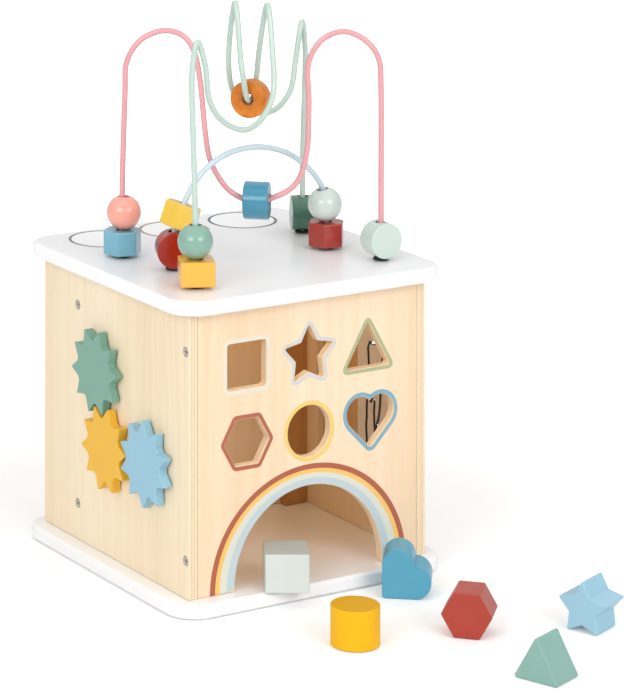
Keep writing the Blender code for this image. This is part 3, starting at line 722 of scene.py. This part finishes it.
def countersink(place, rotation, length):
    """A screw's hole, mouth outwards."""
    head = SCREW_HEAD + 0.0006
    shank = SCREW_SHANK + GAP
    cutter = turned([(0, OVERSHOOT), (head, OVERSHOOT), (head, -HEAD_EDGE), (shank, -HEAD_DEPTH),
                     (shank, -length), (0, -length)], 32)
    return in_world(cutter, place, rotation)


def screw_seats(prefix, rotation):
    """Each of four screws' names, with the point on the surface over it and its length."""
    seats = []
    for number in range(1, 5):
        name = f"{prefix}_{number}"
        low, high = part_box(name)
        centre = middle(name)
        face = high.x + SCREW_SINK if rotation is FACE_RIGHT else low.x - SCREW_SINK
        seats.append((name, (face, centre.y, centre.z), high.x - low.x))
    return seats


def make_screw(name, place, rotation, length, steel):
    """A countersunk head with a cross recess, and its shank."""
    arm, reach = 0.00045, 0.0019
    cross = [(arm, arm), (arm, reach), (-arm, reach), (-arm, arm), (-reach, arm), (-reach, -arm),
             (-arm, -arm), (-arm, -reach), (arm, -reach), (arm, -arm), (reach, -arm), (reach, arm)]
    top, rim, recess_depth = -SCREW_SINK, 0.0003, 0.0013
    screw = turned([(0, top), (SCREW_HEAD - rim, top), (SCREW_HEAD, top - rim), (SCREW_HEAD, -HEAD_EDGE),
                    (SCREW_SHANK, -HEAD_DEPTH), (SCREW_SHANK, top - length), (0, top - length)], 40)
    recess = slab(cross, top - recess_depth, top + OVERSHOOT, 0.0)
    piece(name + "_fine", drilled(screw, [recess]), steel, name, place, rotation)


def upright(low, high, arch=(), holes=()):
    outline = [(low, PANEL_LOW), *arch, (high, PANEL_LOW), (high, PANEL_HIGH), (low, PANEL_HIGH)]
    return slab(outline, 0.0, PLY, PANEL_RIM, holes, steps=2)


def panel(node, bm, surface, location, rotation, cutters=()):
    """A panel in its own plane, drilled by cutters given in world space."""
    if cutters:
        back = Matrix.LocRotScale(Vector(location), Euler(rotation), None).inverted()
        for cutter in cutters:
            cutter.transform(back)
        bm = drilled(bm, cutters)
    return piece(node + "_fine", bm, surface, node, location, rotation)


def make_front_and_back(ply):
    arch = [(-ARCH_RADIUS, PANEL_LOW)] + arc((0, FLOOR + ARCH_SPRING), ARCH_RADIUS, 180, 0, 64)
    arch += [(ARCH_RADIUS, PANEL_LOW)]
    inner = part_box("front_panel")[1].x
    front = upright(-inner, inner, arch, hole_outlines().values())
    panel("front_panel", front, ply, (0, -INNER, 0), FRONT_SHEET)
    wall_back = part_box("back_wall")[1].y
    panel("back_wall", upright(-inner, inner), ply, (0, wall_back, 0), FRONT_SHEET)


def make_left_panel(ply, screws):
    bores = [circle(gear_centre(name), GEAR_DOWEL + GAP, 40) for name in GEARS]
    cuts = [countersink(place, FACE_LEFT, length) for _, place, length in screws]
    panel("left_panel", upright(-HALF, HALF, holes=bores), ply, (-HALF, 0, 0), SIDE_SHEET, cuts)


def make_right_panel(ply, screws, board_screws):
    low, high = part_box("maze_board")
    behind_board = rectangle((low.y + BOARD_LAP, low.z + BOARD_LAP), (high.y - BOARD_LAP, high.z - BOARD_LAP))
    opening = softened(behind_board, 0.008)
    cuts = [countersink(place, FACE_RIGHT, length) for _, place, length in screws]
    for _, place, length in board_screws:
        pilot = round_cutter(SCREW_SHANK + GAP, OVERSHOOT, -length, 20)
        cuts.append(in_world(pilot, place, FACE_RIGHT))
    panel("right_panel", upright(-HALF, HALF, holes=[opening]), ply, (INNER, 0, 0), SIDE_SHEET, cuts)


def make_carcass(ply, pale_ply, steel, batten_wood):
    make_front_and_back(ply)
    for side in ("left", "right"):
        low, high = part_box(side + "_batten")
        bar = slab(rectangle(low.xy, high.xy), low.z, high.z, 0.0006)
        piece(side + "_batten_fine", bar, batten_wood, side + "_batten")
    left_screws = screw_seats("left_screw", FACE_LEFT)
    right_screws = screw_seats("right_screw", FACE_RIGHT)
    board_screws = screw_seats("board_screw", FACE_RIGHT)
    make_left_panel(pale_ply, left_screws)
    make_right_panel(ply, right_screws, board_screws)
    for name, place, length in left_screws:
        make_screw(name, place, FACE_LEFT, length, steel)
    for name, place, length in right_screws + board_screws:
        make_screw(name, place, FACE_RIGHT, length, steel)


# ---------------------------------------------------------------- prints

def print_on_front(name, band, colour):
    piece(name, band, ink(name, colour), body="carcass", location=(0, -HALF, 0), rotation=FRONT_SHEET)


def rainbow_edge(radius, crown):
    """Half an ellipse standing on the floor, as an open run of points from right to left."""
    lift, steps = 0.0006, 72
    turns = [math.pi * i / steps for i in range(steps + 1)]
    return [(radius * math.cos(a), FLOOR + lift + (crown - lift) * math.sin(a)) for a in turns]


def make_outlines():
    holes = hole_outlines()
    colours = {"square": (226, 219, 203), "star": (205, 206, 204), "triangle": (172, 178, 136),
               "hexagon": (176, 98, 72), "circle": (238, 204, 116), "heart": (122, 170, 190)}
    for name, outer in band_edges().items():
        band = slab(outer, 0.0, INK, 0.0, [moved(holes[name], PANEL_RIM)])
        print_on_front(name + "_outline", band, colours[name])


def make_rainbow():
    stripes = {"terracotta": (176, 94, 66), "amber": (246, 196, 106), "pale_mint": (219, 220, 208),
               "pale_blue": (191, 208, 212)}
    spring = FLOOR + ARCH_SPRING
    doorway = arc((0, spring), ARCH_RADIUS + PANEL_RIM, 0, 180, 72)
    edges = [rainbow_edge(*pair) for pair in zip(RAINBOW_RADII, RAINBOW_CROWN)]
    for (name, colour), outer, inner in zip(stripes.items(), edges, edges[1:] + [doorway]):
        print_on_front("rainbow_" + name, slab(outer + inner[::-1], 0.0, INK, 0.0), colour)


def make_rings():
    """Three painted rings on the top plate, with a slightly brighter disc inside each."""
    inner, outer = RING_RADIUS - RING_LINE / 2, RING_RADIUS + RING_LINE / 2
    rings = {"grey": (122, 124, 120), "rose": (170, 122, 118), "slate": (96, 106, 120)}
    bright = ink("ring_fill", (251, 251, 251), 1.0)
    for (name, colour), x in zip(rings.items(), RING_X):
        centre = (x, RING_Y)
        ring = slab(circle(centre, outer), DECK, DECK + INK, 0.0, [circle(centre, inner)])
        piece("top_ring_" + name, ring, ink("ring_" + name, colour), body="carcass")
        disc = slab(circle(centre, inner), DECK, DECK + INK / 2, 0.0)
        piece("top_disc_" + name, disc, bright, body="carcass")


# ---------------------------------------------------------------- gears, maze board

def make_gears(dowel_wood):
    for name in GEARS:
        low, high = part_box(name + "_gear")
        place = gear_centre(name)
        if name == "yellow":
            phase = MIDDLE_PHASE
        else:
            middle_place = gear_centre("yellow")
            direction = math.atan2(place[1] - middle_place[1], place[0] - middle_place[0])
            phase = 2 * direction - MIDDLE_PHASE + math.pi + math.pi / GEAR_TEETH
        bm = slab(gear_outline(), 0.0, high.x - low.x, 0.0007)
        bmesh.ops.rotate(bm, verts=bm.verts, matrix=Matrix.Rotation(phase, 3, "Z"))
        piece(name + "_gear_fine", bm, paint(name + "_gear", (1, 0.07, 1), shine=0.35), name + "_gear",
              (low.x, *place), SIDE_SHEET)
        low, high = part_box(name + "_gear_dowel")
        tip, head, rim, edge = 0.0005, 0.008, 0.0004, 0.0012
        head_face = high.x - 0.004
        profile = [(0, low.x), (GEAR_DOWEL - tip, low.x), (GEAR_DOWEL, low.x + tip),
                   (GEAR_DOWEL, head_face), (head - rim, head_face), (head, head_face + rim),
                   (head, high.x - edge), (head - edge, high.x), (0, high.x)]
        piece(name + "_gear_dowel_fine", turned(profile, 40), dowel_wood, name + "_gear_dowel",
              (0, *place), FACE_RIGHT)


def slider_profile(back):
    """A domed knob, its neck through the slot and a flat button behind the board, back at its lowest."""
    knob, shoulder, neck, button, rim = 0.0065, 0.0040, 0.0012, 0.0042, 0.0004
    inside = back + 0.0018
    turns = [math.pi / 2 * i / 8 for i in range(7, -1, -1)]
    dome = [(knob * math.cos(a), shoulder + (KNOB_HEIGHT - shoulder) * math.sin(a)) for a in turns]
    under = [(knob, 0.0016), (0.0062, 0.0010), (0.0054, 0.0003), (neck, 0.0003), (neck, inside)]
    behind = [(button - rim, inside), (button, inside - rim), (button, back + rim), (button - rim, back)]
    return [(0.0, KNOB_HEIGHT)] + dome + under + behind + [(0.0, back)]


def make_maze():
    board = frame["nodes"]["maze_board"]
    surface = board_paint()
    board.data.materials.clear()
    board.data.materials.append(surface)
    for node in ("coral_slider", "blue_slider", "yellow_slider"):
        low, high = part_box(node)
        centre = middle(node)
        face = high.x - KNOB_HEIGHT
        knob = turned(slider_profile(low.x - face), 40)
        piece(node + "_fine", knob, paint(node), node, (face, centre.y, centre.z), FACE_RIGHT)


# ---------------------------------------------------------------- wires

def leg(foot, *heights):
    """Points straight above a foot."""
    return [Vector((*FEET[foot], z)) for z in heights]


def lean(foot, aside, height):
    """A point above a foot, a little to the camera's right of it."""
    return [Vector((*FEET[foot], height)) + aside * ASIDE]


def pink_path():
    bends = ((0.0035, 0.412), (0.014, 0.430), (0.032, 0.4390), (0.048, 0.4365), (0.0585, 0.4250),
             (0.0645, 0.400), (0.0690, 0.355), (0.0735, 0.331), (0.0850, 0.311), (0.0985, 0.3010),
             (0.1115, 0.2990), (0.1245, 0.3010), (0.1440, 0.3130), (0.1532, 0.339), (0.1550, 0.380),
             (0.1545, 0.412), (0.1650, 0.4320), (0.1835, 0.4400), (0.2015, 0.4330), (0.2125, 0.418))
    start, end = Vector(FEET["pink_left"]), Vector(FEET["pink_right"])
    along = (end - start).normalized()
    spans = [Vector((*(start + along * s), z)) for s, z in bends]
    up = leg("pink_left", WIRE_END, 0.310) + lean("pink_left", 0.0022, 0.386)
    return up + spans + leg("pink_right", 0.392, 0.310, WIRE_END)


def green_path():
    bends = ((-0.0915, -0.0838, 0.430), (-0.0868, -0.0835, 0.4470), (-0.079, -0.0828, 0.427),
             (-0.0735, -0.0803, 0.3985), (-0.0585, -0.0765, 0.3795), (-0.0345, -0.0724, 0.3692),
             (-0.0115, -0.0638, 0.3752), (0.003, -0.0580, 0.394), (0.0072, -0.0503, 0.4255),
             (0.0108, -0.0374, 0.4622), (0.0112, -0.0260, 0.430), (0.0112, -0.0203, 0.400),
             (0.0075, -0.0230, 0.3865), (0.0, -0.0285, 0.3828), (-0.0075, -0.0340, 0.3865),
             (-0.0127, -0.0372, 0.402), (-0.0135, -0.0340, 0.4184), (-0.0112, -0.0226, 0.4635),
             (-0.0079, -0.0083, 0.4303), (-0.0055, -0.0045, 0.399), (0.004, -0.001, 0.3790),
             (0.0225, 0.0045, 0.3650), (0.048, 0.0082, 0.3636), (0.0687, 0.0148, 0.3775),
             (0.0772, 0.0196, 0.4016), (0.0862, 0.0236, 0.4327), (0.0913, 0.0262, 0.412))
    spans = [Vector(p) for p in bends]
    up = leg("green_front", WIRE_END, 0.310) + lean("green_front", -0.0018, 0.374)
    down = lean("green_back", 0.0020, 0.385) + leg("green_back", 0.310, WIRE_END)
    return up + lean("green_front", -0.0027, 0.410) + spans + down


def blue_path():
    bends = ((-0.0740, 0.282), (-0.0685, 0.2950), (-0.0607, 0.3115), (-0.0460, 0.3285), (-0.0230, 0.3405),
             (0.006, 0.3432), (0.034, 0.3362), (0.0560, 0.3220), (0.0712, 0.3040), (0.0760, 0.2880))
    spans = [Vector((x, FEET["blue_left"][1], z)) for x, z in bends]
    return leg("blue_left", WIRE_END, 0.262) + spans + leg("blue_right", 0.272, WIRE_END)


def make_wires(rubber):
    paths = {"pink": pink_path(), "green": green_path(), "blue": blue_path()}
    for name, points in paths.items():
        piece(name + "_wire_fine", tube(smooth_path(points, 9), WIRE), wire_coat(name), name + "_wire",
              sharp=60)
    for foot, place in FEET.items():
        low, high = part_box("washer_" + foot)
        hole, outer, edge = WIRE + 0.0002, (high.x - low.x) / 2, 0.0006
        profile = [(hole, low.z), (outer - edge, low.z), (outer, low.z + edge), (outer, high.z - edge),
                   (outer - edge, high.z), (hole + edge, high.z), (hole, high.z - edge)]
        piece(f"washer_{foot}_fine", turned(profile, 48, closed=True), rubber, "washer_" + foot, (*place, 0))


# ---------------------------------------------------------------- beads

def prism_bead(node, outline, yaw=0.0, rotation=None, length=BEAD_LENGTH, surface=None):
    bm = slab(outline, -length / 2, length / 2, BEAD_RIM, [circle((0, 0), BORE, 48)], steps=4)
    rotation = rotation or (0, 0, math.radians(yaw))
    return piece(node + "_fine", bm, surface or paint(node), node, middle(node), rotation)


def sphere_bead(node, rotation=(0, 0, 0)):
    """A ball whose bore has a softened rim."""
    soft = 0.0005
    opening = math.degrees(math.asin((BORE + soft) / SPHERE_RADIUS))
    outside = [(r, z) for z, r in arc((0, 0), SPHERE_RADIUS, opening, 180 - opening, 40)]
    top = outside[0][1]
    profile = [(BORE, top - 0.0009)] + outside + [(BORE, -top + 0.0009)]
    return piece(node + "_fine", turned(profile, 72, closed=True), paint(node), node, middle(node), rotation)


def disc_bead(node, facing):
    """A wheel standing on its rim, bored through its diameter."""
    turn = (math.radians(90), 0, math.radians(facing + 90))
    wheel = slab(circle((0, 0), DISC_RADIUS, 96), -BEAD_LENGTH / 2, BEAD_LENGTH / 2, 0.0010, steps=4)
    bore = round_cutter(BORE, 0.02, -0.02, 40)
    bore.transform(Euler(turn).to_matrix().to_4x4().inverted())
    surface = paint(node, (0.07, 1, 1))
    return piece(node + "_fine", drilled(wheel, [bore]), surface, node, middle(node), turn, sharp=33)


def make_beads():
    hexagon = softened(polygon((0, 0), BEAD_RADIUS + 0.0003, 6), 0.0018)
    half = SQUARE_BEAD / 2
    square = softened(rectangle((-half, -half), (half, half)), 0.0020)
    disc = circle((0, 0), BEAD_RADIUS - 0.0005, 96)
    prism_bead("blue_hexagon_bead", hexagon, -16.4)
    prism_bead("yellow_square_bead", square, -25.9)
    prism_bead("red_hexagon_bead", hexagon, -9.7)
    prism_bead("yellow_hexagon_bead", hexagon, rotation=(0, math.radians(19), math.radians(-14)))
    lying = math.radians(90)
    prism_bead("blue_cylinder_bead", disc, rotation=(0, lying, math.radians(-41.0)), length=0.021)
    prism_bead("orange_disc_bead", disc, rotation=(0, lying, math.radians(36.4)), length=0.015,
               surface=stained_wood())
    sphere_bead("coral_sphere_bead")
    sphere_bead("sage_sphere_bead")
    sphere_bead("mint_sphere_bead", (0, math.radians(-12), 0))
    disc_bead("red_disc_bead", -115)
    disc_bead("green_disc_bead", 153)
    disc_bead("pale_disc_bead", -95)


# ---------------------------------------------------------------- loose blocks

def lying_block(node, outline, yaw, tilt=0.0):
    """A block on its side, centred on its CAD solid, its end face turned by yaw and rolled by tilt."""
    roll = Matrix.Rotation(math.radians(tilt), 2)
    rolled = [tuple(roll @ Vector(p)) for p in outline]
    heights = [v for _, v in rolled]
    widths = [u for u, _ in rolled]
    bm = slab(rolled, -BLOCK_LENGTH / 2, BLOCK_LENGTH / 2, BLOCK_RIM)
    place = middle(node)
    turn = Euler((math.radians(90), 0, math.radians(yaw)))
    aside = turn.to_matrix() @ Vector((-(min(widths) + max(widths)) / 2, 0, 0))
    place = place + aside
    place.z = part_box(node)[0].z - min(heights)
    return piece(node + "_fine", bm, paint(node, shine=0.45), node, place, turn)


def make_blocks():
    half = SQUARE_SIDE / 2
    corner = 0.0016
    square = softened(rectangle((-half, -half), (half, half)), corner)
    cube = slab(square, -BLOCK_LENGTH / 2, BLOCK_LENGTH / 2, BLOCK_RIM)
    # ends=0.74 paints shade on the cube's top and bottom.
    piece("square_block_fine", cube, paint("square_block", ends=0.74, shine=0.3), "square_block",
          middle("square_block"), (0, 0, math.radians(-29.7)))
    drum = slab(circle((0, 0), CYLINDER_RADIUS, 96), -BLOCK_LENGTH / 2, BLOCK_LENGTH / 2, BLOCK_RIM)
    # ends=0.74 paints shade on the drum's top and bottom.
    piece("round_block_fine", drum, paint("round_block", ends=0.74, shine=0.1), "round_block",
          middle("round_block"))
    lying_block("hexagon_block", softened(polygon((0, 0), HEXAGON_RADIUS, 6), corner), -45.4)
    triangle = polygon((0, 0), TRIANGLE_SIDE / math.sqrt(3), 3, 90)
    lying_block("triangle_block", softened(triangle, corner), -69.1)
    lying_block("star_block", softened(star((0, 0), STAR_RADIUS + 0.0002, STAR_WAIST), 0.0011), -67.8)
    lying_block("heart_block", heart((0, 0), HEART_SIDE, tip_radius=0.0022), -38, tilt=-45)


# ---------------------------------------------------------------- stage

def by_ray(tree, ray, matching, otherwise):
    """One value for a kind of ray, such as those from the camera, and another for all others."""
    path = tree.nodes.new("ShaderNodeLightPath")
    switch = tree.nodes.new("ShaderNodeMix")
    tree.links.new(path.outputs[ray], switch.inputs[0])
    for socket, value in ((switch.inputs[3], matching), (switch.inputs[2], otherwise)):
        if isinstance(value, bpy.types.NodeSocket):
            tree.links.new(value, socket)
        else:
            socket.default_value = value
    return switch.outputs[0]


def make_stage():
    surface = Surface("floor", 0.9)
    grit = surface.noise(40, detail=2.0)
    surface.put("Base Color", surface.mix(grit, (0.90, 0.90, 0.90, 1.0), (0.88, 0.88, 0.88, 1.0)))
    surface.put("Specular IOR Level", 0.1)
    surface.put("Emission Color", (1.0, 1.0, 1.0, 1.0))
    place = surface.axes("Object")
    reach = surface.math("SQRT", surface.math("ADD", surface.math("POWER", place["X"], 2.0),
                                              surface.math("POWER", place["Y"], 2.0)))
    fill = surface.spread(reach, *FLOOR_FILL, FLOOR_REACH)
    surface.put("Emission Strength", by_ray(surface.tree, "Is Camera Ray", fill, 0.0))
    bm = bmesh.new()
    bmesh.ops.create_grid(bm, x_segments=1, y_segments=1, size=FLOOR_SIZE)
    mesh = bpy.data.meshes.new("floor")
    bm.to_mesh(mesh)
    bm.free()
    mesh.materials.append(surface.material)
    floor = bpy.data.objects.new("floor", mesh)
    floor.location.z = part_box("base_plate")[0].z - 0.0004
    bpy.context.scene.collection.objects.link(floor)


def sky_ramp(tree, height, strengths):
    """A strength that grows from the horizon to overhead."""
    ramp = tree.nodes.new("ShaderNodeMapRange")
    tree.links.new(height, ramp.inputs["Value"])
    ramp.inputs["To Min"].default_value, ramp.inputs["To Max"].default_value = strengths
    return ramp.outputs["Result"]


def make_world():
    """White to the camera. As light it is brighter overhead than at the horizon."""
    world = bpy.data.worlds.new("studio")
    bpy.context.scene.world = world
    world.use_nodes = True
    tree = world.node_tree
    sky = tree.nodes["Background"]
    coordinates = tree.nodes.new("ShaderNodeTexCoord")
    split = tree.nodes.new("ShaderNodeSeparateXYZ")
    tree.links.new(coordinates.outputs["Generated"], split.inputs[0])
    height = split.outputs["Z"]
    lighting = by_ray(tree, "Is Glossy Ray", sky_ramp(tree, height, MIRRORED_LIGHT),
                      sky_ramp(tree, height, WORLD_LIGHT))
    tree.links.new(by_ray(tree, "Is Camera Ray", 1.05, lighting), sky.inputs["Strength"])
    sky.inputs["Color"].default_value = (1.0, 1.0, 1.0, 1.0)


def add_light(name, place, way, size, power, colour=(1.0, 1.0, 1.0)):
    """An area light of some width and height that shines along way and isn't seen itself."""
    data = bpy.data.lights.new(name, "AREA")
    data.shape = "RECTANGLE"
    data.size, data.size_y = size
    data.energy = power
    data.color = colour
    light = bpy.data.objects.new(name, data)
    light.location = place
    light.rotation_mode = "QUATERNION"
    light.rotation_quaternion = way.to_track_quat("-Z", "Y")
    light.visible_camera = False
    bpy.context.scene.collection.objects.link(light)


def add_softbox(name, turn, height, power):
    """A studio light, turned from the camera's direction as seen from the object."""
    target = Vector((0.0, 0.0, 0.20))
    toward = math.radians(-90) + CAMERA_TURN + math.radians(turn)
    rise = math.radians(height)
    way = Vector((math.cos(toward) * math.cos(rise), math.sin(toward) * math.cos(rise), math.sin(rise)))
    add_light(name, target + way * 3.0, -way, (1.7, 1.1), power)


def make_camera():
    """A level camera with a shifted lens. The shift holds only where the camera stands here."""
    data = bpy.data.cameras.new("camera")
    data.lens = CAMERA_LENS
    data.sensor_width = 36.0
    data.clip_end = 60.0
    camera = bpy.data.objects.new("camera", data)
    camera.location = CAMERA_PLACE
    camera.rotation_euler = (math.radians(90), 0.0, CAMERA_TURN)
    bpy.context.scene.collection.objects.link(camera)
    for channel, amount in zip(("shift_x", "shift_y"), CAMERA_SHIFT):
        driver = data.driver_add(channel).driver
        driver.type = "SCRIPTED"
        height = driver.variables.new()
        height.name = "height"
        height.type = "TRANSFORMS"
        height.targets[0].id = camera
        height.targets[0].transform_type = "LOC_Z"
        driver.expression = f"{amount} if abs(height - {CAMERA_PLACE.z:.4f}) < 0.0005 else 0.0"
    bpy.context.scene.camera = camera


def make_studio():
    make_stage()
    make_world()
    add_softbox("key_right", 34, 26, 27.0)
    add_softbox("key_left", -34, 26, 27.5)
    inside = Vector((0.0, 0.0, PANEL_TOP - 0.002))
    add_light("inside_glow", inside, Vector((0.0, 0.0, -1.0)), (0.16, 0.16), 0.083, (1.0, 0.71, 0.37))
    make_camera()
    bpy.context.scene.view_settings.view_transform = "Standard"


# ---------------------------------------------------------------- build

birch = plywood("birch_plywood", linear(251, 227, 197), linear(231, 195, 155))
pale_birch = plywood("pale_birch_plywood", linear(250, 235, 207), linear(230, 203, 164))
make_plates(white_lacquer())
make_carcass(birch, pale_birch, zinc(),
             solid_wood("batten_wood", linear(204, 154, 90), linear(168, 114, 62)))
make_outlines()
make_rainbow()
make_rings()
make_gears(solid_wood("dowel_wood", linear(244, 220, 180), linear(214, 176, 126)))
make_maze()
make_wires(black_rubber())
make_beads()
make_blocks()
make_studio()
